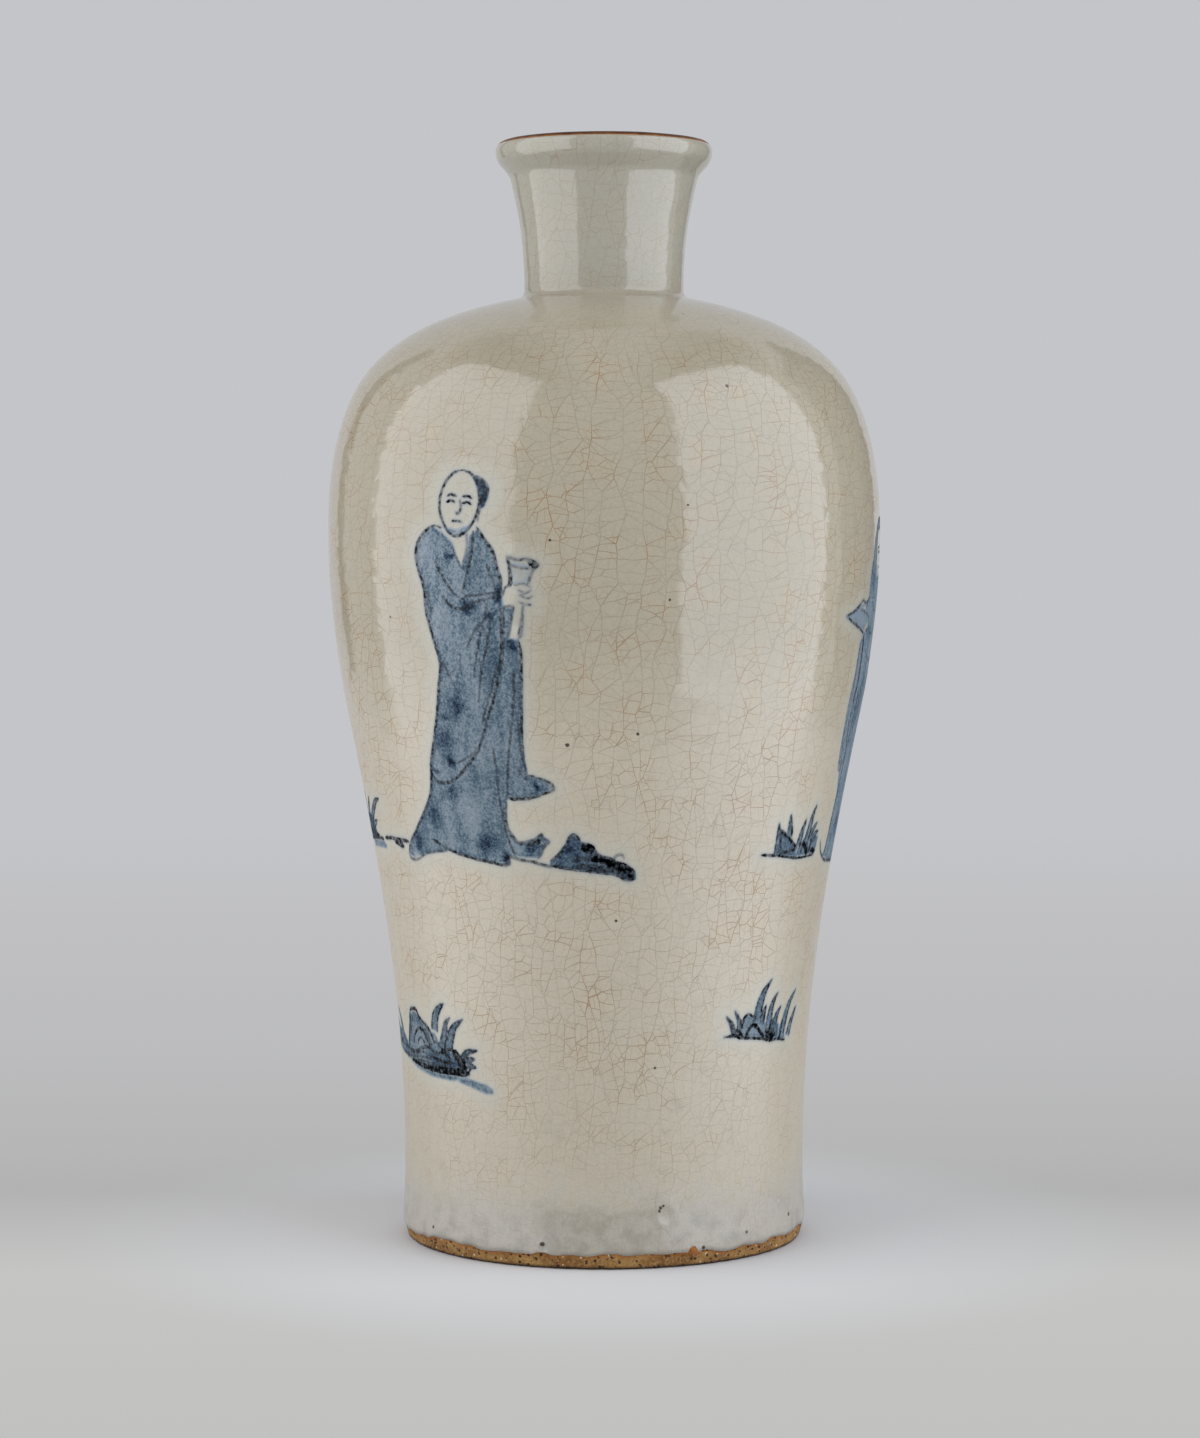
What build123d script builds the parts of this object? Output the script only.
"""Meiping vase: three thrown stoneware sections luted with slip, glazed inside and out, with a dressed rim.

Millimetres, +Z up. The origin is the centre of the foot, on the surface that the vase stands on.
Every piece is a half section in the XZ plane, turned once round Z.
"""
from build123d import *
import os
from math import cos, radians, sin

# Outside of the finished vase, over the glaze. A rise is the height above the landmark before it,
# and an inset is how far the wall lies inside the wider landmark beside it.
FOOT_DIAMETER = 111.6
FOOT_BAND = 4.0
WAIST_RISE = 18.0
WAIST_INSET = 0.7
SEAM_RISE = 128.0
SEAM_INSET = 4.1
BELLY_RISE = 45.0
BELLY_DIAMETER = 151.6
SHOULDER_RISE = 43.0
SHOULDER_INSET = 11.4
ROOT_RISE = 19.1
THROAT_DIAMETER = 44.0
NECK_RISE = 32.4
NECK_FLARE = 3.6
LIP_RISE = 7.9
LIP_OVERHANG = 4.1
LIP_RADIUS = 2.6

# Lean of the wall at a landmark: how far it runs outwards for each unit that it rises
FOOT_LEAN = -0.06
SEAM_LEAN_BELOW = 0.21
SEAM_LEAN_ABOVE = 0.16
SHOULDER_LEAN = -0.84
ROOT_LEAN = -5.0
NECK_TOP_LEAN = 0.22

# Clay walls, foot and floor
WALL = 6.0
NECK_WALL = 4.2
FLOOR = 8.0
FLOOR_CORNER = 12.0
FOOT_CHAMFER = 1.0
FOOT_RING = 9.0
BASE_RECESS = 5.0
RECESS_DRAFT = 2.0

# Luted joints and coats
SLIP = 0.8
SEAM_BEVEL = 3.0
NECK_FILLET = 2.6
GLAZE = 0.6
RIM_SPREAD = 55.0


def spot(radius, height):
    """Point of the half section."""
    return Vector(radius, 0, height)


def at(landmark, depth=0.0, along=0.0):
    """Point at a landmark, at a depth below the finished outside and so far up along the wall."""
    place, heading = landmark
    upward = heading.normalized()
    outward = Vector(upward.Z, 0, -upward.X)
    return place - outward * depth + upward * along


def side(*stops):
    """Smooth edge through stops, each a point and the wall's heading there."""
    return Spline(*[point for point, _ in stops], tangents=[heading for _, heading in stops])


def wall(landmarks, depth):
    """Smooth edge along landmarks, at one depth below the finished outside."""
    return side(*[(at(landmark, depth), landmark[1]) for landmark in landmarks])


def turned(*edges):
    """Solid of revolution from the closed edges of a half section."""
    return revolve(Face(Wire(edges)), Axis.Z)


UP = spot(0, 1)
throat_radius = THROAT_DIAMETER / 2
belly_radius = BELLY_DIAMETER / 2
waist_radius = FOOT_DIAMETER / 2 - WAIST_INSET
neck_top_radius = throat_radius + NECK_FLARE

waist_height = FOOT_BAND + WAIST_RISE
seam_height = waist_height + SEAM_RISE
belly_height = seam_height + BELLY_RISE
shoulder_height = belly_height + SHOULDER_RISE
root_height = shoulder_height + ROOT_RISE
neck_top_height = root_height + NECK_RISE
lip_height = neck_top_height + LIP_RISE

# Landmarks of the outside, from foot to lip, each with the wall's heading
foot = (spot(FOOT_DIAMETER / 2, FOOT_BAND), spot(FOOT_LEAN, 1))
waist = (spot(waist_radius, waist_height), UP)
seam_below = (spot(belly_radius - SEAM_INSET, seam_height), spot(SEAM_LEAN_BELOW, 1))
seam_above = (at(seam_below, along=SLIP), spot(SEAM_LEAN_ABOVE, 1))
belly = (spot(belly_radius, belly_height), UP)
shoulder = (spot(belly_radius - SHOULDER_INSET, shoulder_height), spot(SHOULDER_LEAN, 1))
root = (spot(throat_radius + NECK_FILLET, root_height), spot(ROOT_LEAN, 1))
throat = (spot(throat_radius, root_height + NECK_FILLET), UP)
neck_top = (spot(neck_top_radius, neck_top_height), spot(NECK_TOP_LEAN, 1))
lip = (spot(neck_top_radius + LIP_OVERHANG, lip_height), UP)

# The shoulder's flat rim carries the neck, on a bed of slip
rim_height = at(root, GLAZE).Z
bed_height = rim_height + SLIP
floor_height = BASE_RECESS + FLOOR
crest_radius = LIP_RADIUS - GLAZE
crest_start = 90 - RIM_SPREAD
crest_end = 90 + RIM_SPREAD


def crest(angle, radius):
    """Point of the lip's round crest, at an angle up from its outermost point."""
    turn = radians(angle)
    return at(lip) + spot(cos(turn) * radius - LIP_RADIUS, sin(turn) * radius)


def crest_arc(start, end, radius):
    """Stretch of the lip's round crest between two angles."""
    return ThreePointArc(crest(start, radius), crest((start + end) / 2, radius), crest(end, radius))


def outside(depth):
    """Edges of the outside from the glaze line to the dressed rim: glaze face at 0, clay face at GLAZE."""
    return [
        wall([foot, waist, seam_below], depth),
        Line(at(seam_below, depth), at(seam_above, depth)),
        wall([seam_above, belly, shoulder, root], depth),
        wall([root, throat], depth),
        wall([throat, neck_top, lip], depth),
        crest_arc(0, crest_start, LIP_RADIUS - depth),
    ]


def hole(coat):
    """Radius of the way in at the throat, under a coat."""
    return throat_radius - GLAZE - NECK_WALL - coat


def lower_inside(coat):
    """Edges of the inside from the middle of the floor to the belly seam, under a coat."""
    depth = GLAZE + WALL + coat
    bend = FLOOR_CORNER - coat
    corner = spot(waist_radius - GLAZE - WALL - FLOOR_CORNER, floor_height + FLOOR_CORNER)
    floor_edge = corner - UP * bend
    wall_start = spot(waist_radius - depth, corner.Z)
    slant = radians(45)
    corner_middle = corner + spot(cos(slant) * bend, -sin(slant) * bend)
    return [
        Line(spot(0, floor_height + coat), floor_edge),
        ThreePointArc(floor_edge, corner_middle, wall_start),
        side((wall_start, UP), (at(seam_below, depth, SEAM_BEVEL), seam_below[1])),
    ]


def upper_inside(coat):
    """Edges of the inside from the belly seam to the shoulder's rim, under a coat."""
    depth = GLAZE + WALL + coat
    return [
        side(
            (at(seam_above, depth, SEAM_BEVEL), seam_above[1]),
            (at(belly, depth), belly[1]),
            (at(shoulder, depth), shoulder[1]),
            (at(root, depth), root[1]),
        ),
        side((at(root, depth), root[1]), (spot(hole(coat), rim_height), UP)),
    ]


def neck_inside(coat):
    """Edges of the inside from the neck's foot to the dressed rim, under a coat."""
    depth = GLAZE + NECK_WALL + coat
    mouth = crest_radius + coat
    return [
        side(
            (spot(hole(coat), bed_height), UP),
            (at(neck_top, depth), neck_top[1]),
            (crest(180, mouth), UP),
        ),
        crest_arc(180, crest_end, mouth),
    ]


def seam_inside(coat):
    """Edge of the slip at the belly seam, on the inside under a coat."""
    depth = GLAZE + WALL + coat
    return Line(at(seam_below, depth, SEAM_BEVEL), at(seam_above, depth, SEAM_BEVEL))


lower_clay, seam_clay, upper_clay, fillet_clay, neck_clay, lip_clay = outside(GLAZE)
shoulder_rim = Line(at(root, GLAZE), spot(hole(0), rim_height))
neck_foot = Line(spot(at(throat, GLAZE).X, bed_height), spot(hole(0), bed_height))
neck_heel = Line(neck_foot @ 0, at(throat, GLAZE))
seam_joint_below = Line(seam_clay @ 0, seam_inside(0) @ 0)
seam_joint_above = Line(seam_clay @ 1, seam_inside(0) @ 1)


def lower_body():
    """Lower section: foot ring with a chamfered bare band, hollow base, floor and wall up to the belly seam."""
    ring_outer = (lower_clay @ 0).X - FOOT_CHAMFER
    ring_inner = ring_outer - FOOT_RING
    base = Polyline(
        lower_clay @ 0,
        spot(ring_outer, 0),
        spot(ring_inner, 0),
        spot(ring_inner - RECESS_DRAFT, BASE_RECESS),
        spot(0, BASE_RECESS),
        spot(0, floor_height),
    )
    return turned(*base.edges(), *lower_inside(0), seam_joint_below, lower_clay)


def belly_seam():
    """Slip between the two body sections, on a bevelled joint."""
    return turned(seam_clay, seam_joint_above, seam_inside(0), seam_joint_below)


def upper_body():
    """Upper section: belly and shoulder, ending in a flat rim round the neck's hole."""
    return turned(upper_clay, shoulder_rim, *upper_inside(0), seam_joint_above)


def neck_seam():
    """Slip under the neck, worked into the corner between neck and shoulder."""
    bed_edge = Line(neck_foot @ 1, shoulder_rim @ 1)
    return turned(fillet_clay, neck_heel, neck_foot, bed_edge, shoulder_rim)


def neck():
    """Flared neck with its lip rolled outwards."""
    crown = crest_arc(crest_start, crest_end, crest_radius)
    return turned(neck_clay, lip_clay, crown, *neck_inside(0), neck_foot, neck_heel)


def outer_glaze():
    """Coat of the outside, from the glaze line above the foot to the dressed rim."""
    face = outside(0)
    lower_edge = Line(face[0] @ 0, lower_clay @ 0)
    upper_edge = Line(face[-1] @ 1, lip_clay @ 1)
    return turned(*face, upper_edge, *outside(GLAZE), lower_edge)


def inner_glaze():
    """Coat of the inside, from the floor to the dressed rim."""
    throat_clay = Line(spot(hole(0), rim_height), spot(hole(0), bed_height))
    throat_face = Line(spot(hole(GLAZE), rim_height), spot(hole(GLAZE), bed_height))
    clay = [*lower_inside(0), seam_inside(0), *upper_inside(0), throat_clay, *neck_inside(0)]
    face = [*lower_inside(GLAZE), seam_inside(GLAZE), *upper_inside(GLAZE), throat_face, *neck_inside(GLAZE)]
    centre = Line(clay[0] @ 0, face[0] @ 0)
    upper_edge = Line(clay[-1] @ 1, face[-1] @ 1)
    return turned(*clay, upper_edge, *face, centre)


def rim_dressing():
    """Iron-brown dressing on the crest of the lip, level with the glaze on both sides."""
    face = crest_arc(crest_start, crest_end, LIP_RADIUS)
    clay = crest_arc(crest_start, crest_end, crest_radius)
    return turned(face, Line(face @ 1, clay @ 1), clay, Line(clay @ 0, face @ 0))


os.makedirs("parts", exist_ok=True)
for piece in (lower_body, belly_seam, upper_body, neck_seam, neck, outer_glaze, inner_glaze, rim_dressing):
    export_step(piece(), f"parts/{piece.__name__}.step")
